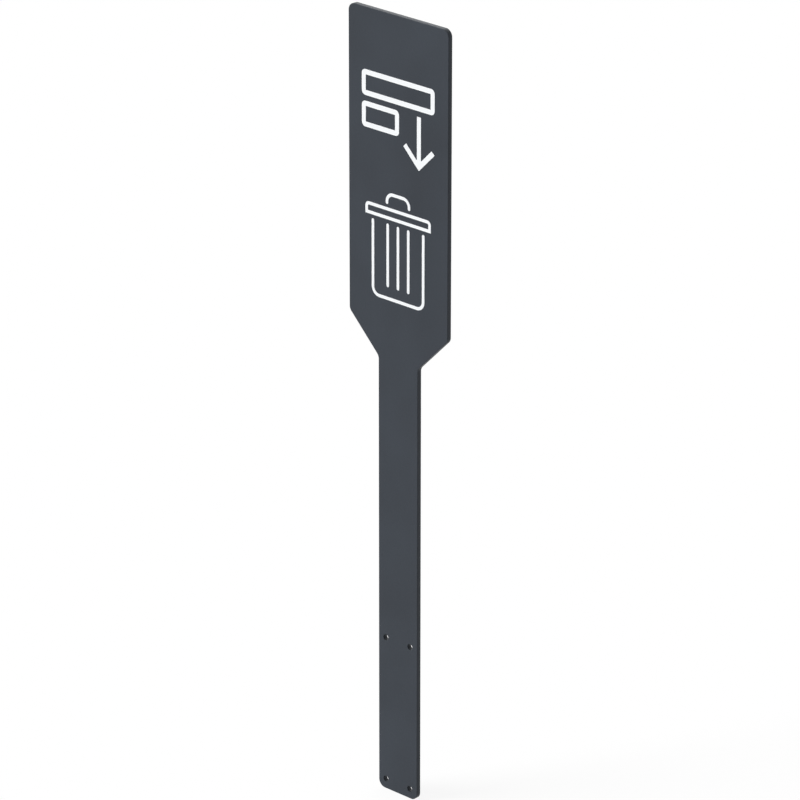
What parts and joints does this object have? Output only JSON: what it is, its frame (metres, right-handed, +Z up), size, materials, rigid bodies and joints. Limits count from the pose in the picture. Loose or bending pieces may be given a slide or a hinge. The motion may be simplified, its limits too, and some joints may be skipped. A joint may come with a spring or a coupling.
{
  "type": "totem sign",
  "caption": "Upright steel plate sign with a wide head on a narrow drilled foot, carrying blank name fields, an arrow and a bin figure in white film.",
  "frame": {"origin": "centre of the foot's bolt pattern, on the plate's back face", "axes": "+Z up along the sign, +Y out of the plate's back towards what it is bolted to, so the graphics face -Y, and +X to the right of someone who reads the sign"},
  "size_m": [0.25, 0.0106, 1.57],
  "materials": {
    "powder_coat": "fine matt anthracite powder coat on steel",
    "white_film": "satin white cut vinyl film"
  },
  "bodies": {
    "root": {"sign_plate": "powder_coat", "name_field_long": "white_film", "name_field_short": "white_film", "direction_arrow": "white_film", "bin_handle": "white_film", "bin_lid": "white_film", "bin_body": "white_film", "bin_flute_left": "white_film", "bin_flute_middle": "white_film", "bin_flute_right": "white_film"}
  },
  "joints": []
}
